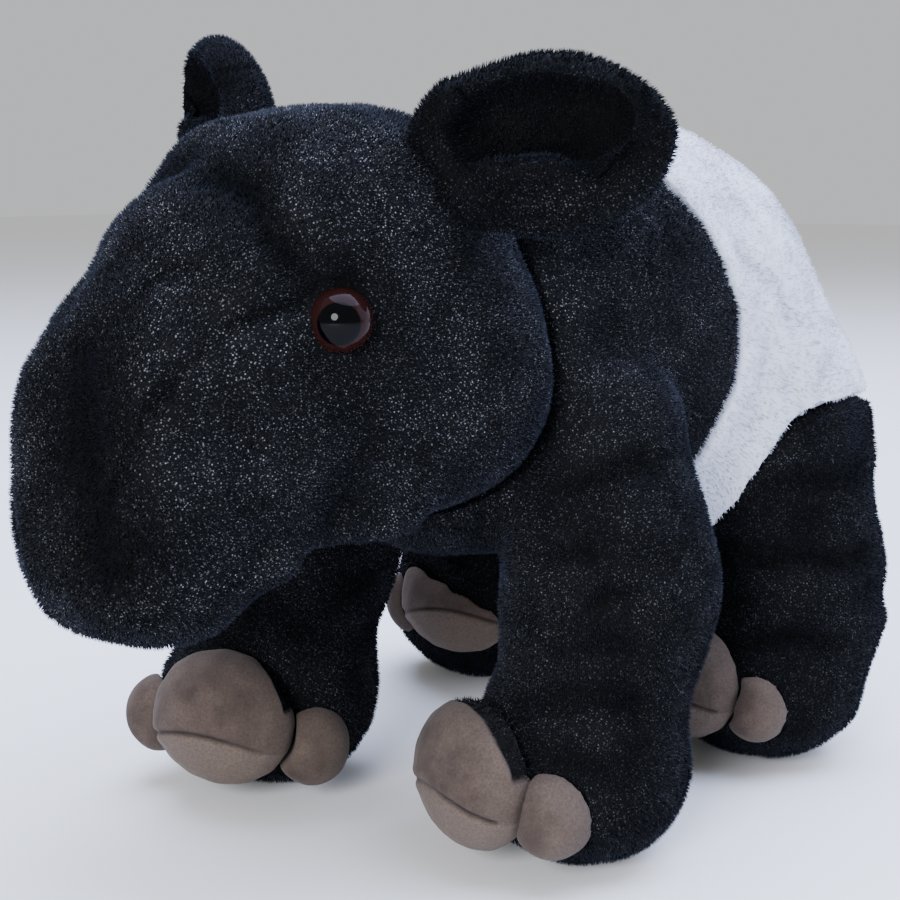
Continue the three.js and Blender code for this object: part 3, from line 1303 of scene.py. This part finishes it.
@dataclass
class ToeCaps:
    """The three velour toes of a foot."""

    foot: Foot
    toes: Sequence[Toe] = (
        Toe("middle", 33, -1, (22.5, 14.5, 20), 0.5, seam=19.3),
        Toe("outer", 23, 21.5, (10.5, 12, 12), 3),
        Toe("inner", 22, -24, (11, 12, 12), 0),
    )
    crown_ahead: float = 0.9
    seam_reach: float = 19.0
    puff: float = 2.4

    def make(self) -> None:
        """Sew the toes of the foot."""
        for k, toe in enumerate(self.toes):
            skin = ToeSkin(
                f"toe_{self.foot.name}_{toe.name}_skin",
                (f"toe_{self.foot.name}_{toe.name}",),
                Slot.TAUPE,
                # The plush over a toe's back is painted darker, as shade, with fewer painted glints
                Pile(towards(0, -0.6, -0.8), stand=1.5, lean=1.0, light=0.6, painted_glints=0.5),
                voxel=0.6,
                rounds=44,
                lumps=0.3,
                seed=41 + k,
                tucked=9.0,
                foot=self.foot,
                toe=toe,
            )
            skin.creases = self.flattening(skin) if toe.seam is None else self.stitching(skin)
            skin.make()

    def flattening(self, skin: ToeSkin) -> list[Crease]:
        """Press a small toe's crown flatter than the ball that it would be.

        Args:
            skin: the toe's skin.

        Returns:
            The one crease.
        """
        toe = skin.toe
        ahead = toe.ahead + self.crown_ahead * toe.radii[1]
        across, height = toe.out + skin.spread(), toe.radii[2] + toe.lift + self.foot.rise
        crown = [(ahead, across, height + by) for by in (0, 1)]
        return [Crease(self.foot.at(crown), 8.0, 1.8, 0.0)]

    def stitching(self, skin: ToeSkin) -> list[Crease]:
        """Lay the seam across a middle toe, with the velour puffed a little above and below it.

        Args:
            skin: the toe's skin.

        Returns:
            The creases.
        """
        toe = skin.toe
        out = np.linspace(-self.seam_reach, self.seam_reach, 20)
        height = skin.seam_height(out)
        middle = toe.radii[2] + toe.lift + self.foot.rise
        share = 1 - ((out - toe.out) / toe.radii[0]) ** 2 - ((height - middle) / toe.radii[2]) ** 2
        ahead = toe.ahead + toe.radii[1] * np.sqrt(np.maximum(share, 0.02))
        return [
            Crease(self.foot.at(np.stack([ahead, out, height + by], 1)), width, depth, dim)
            for by, width, depth, dim in (
                (0, 0.7, 0.8, 0.95),
                (self.puff, 1.8, -0.5, 0.0),
                (-self.puff, 1.8, -0.5, 0.0),
            )
        ]


@dataclass
class Studio:
    """The camera at the photograph's angle, the floor and three soft lights."""

    camera_at: tuple[float, float, float] = (271.8, -434.2, 179.0)
    yaw: float = math.radians(35)
    pitch: float = math.radians(9)
    lens: float = 68.8
    sensor: float = 36.0
    floor: str = "#f4f3f1"
    floor_size: float = 12.0
    around: str = "#f6f7fa"
    around_strength: float = 0.68
    look_at: tuple[float, float, float] = (0, 0, 0.1)
    lights: Sequence[tuple[str, tuple[float, float, float], float, float, str]] = (
        ("top", (100, 250, 1500), 2.2, 92.0, "#c8d6ff"),
        ("key", (347, -1240, 484), 0.5, 27.0, "#f4f6ff"),
        ("back", (900, 900, 700), 1.6, 16.0, "#c8d6ff"),
    )

    def make(self) -> None:
        """Set up the studio."""
        self.aim_camera()
        self.lay_floor()
        self.light_up()

    def aim_camera(self) -> None:
        """Put the camera where the photograph was taken from."""
        data = bpy.data.cameras.new("camera")
        data.sensor_width = self.sensor
        data.lens = self.lens
        camera = bpy.data.objects.new("camera", data)
        bpy.context.scene.collection.objects.link(camera)
        camera.location = placed([self.camera_at])[0]
        camera.rotation_euler = (math.pi / 2 - self.pitch, 0, self.yaw)
        bpy.context.scene.camera = camera

    def lay_floor(self) -> None:
        """Lay a sheet of pale matt paper under the toy."""
        bpy.ops.mesh.primitive_plane_add(size=self.floor_size, location=(0, 0, 0))
        floor = bpy.context.view_layer.objects.active
        floor.name = "floor"
        material, tree = blank("matt_paper")
        paper = {"Base Color": linear(self.floor), "Roughness": 0.9, "Specular IOR Level": 0.2}
        close(tree, add_node(tree, "ShaderNodeBsdfPrincipled", paper))
        floor.data.materials.append(material)

    def light_up(self) -> None:
        """Hang the lights, and make the room around pale."""
        for name, place, size, power, colour in self.lights:
            light = bpy.data.lights.new(name, "AREA")
            light.shape = "DISK"
            light.size = size
            light.energy = power
            light.color = linear(colour)[:3]
            lamp = bpy.data.objects.new(name, light)
            bpy.context.scene.collection.objects.link(lamp)
            lamp.location = placed([place])[0]
            aim = Vector(self.look_at) - lamp.location
            lamp.rotation_euler = aim.to_track_quat("-Z", "Y").to_euler()
        world = bpy.data.worlds.new("studio")
        world.use_nodes = True
        background = world.node_tree.nodes["Background"].inputs
        background["Color"].default_value = linear(self.around)
        background["Strength"].default_value = self.around_strength
        bpy.context.scene.world = world


def main() -> None:
    """Build the toy and its studio."""
    logging.basicConfig(level=logging.INFO, format="%(name)s %(message)s")
    Studio().make()
    pieces = [Head(), Forebody(), Saddle()]
    pieces += [HindLeg(side) for side in ("left", "right")]
    pieces += [Ear("left", 17, 33, 185, sweep=32, lift=3), Ear("right", 6, 53.5, 178, sweep=17, lift=36)]
    uncovered = ((-22, 26.5), (22, 26.5))
    inner_side = ((-21, 33.6), (-16, 31.7), (-6.5, 26.5), (22, 26.5))
    pieces += [
        ToeCaps(foot)
        for foot in (
            Foot("front_left", 1, (48, -51), toe_in=28, rise=6),
            Foot("front_right", -1, (-60, -50), toe_in=9, rise=6, edge=inner_side, splay=6),
            Foot("hind_left", 1, (49.5, 56), toe_in=20, rise=8, edge=uncovered),
            Foot("hind_right", -1, (-68, 79), toe_in=12, rise=14, edge=uncovered),
        )
    ]
    for piece in pieces:
        piece.make()


if __name__ == "__main__":
    main()
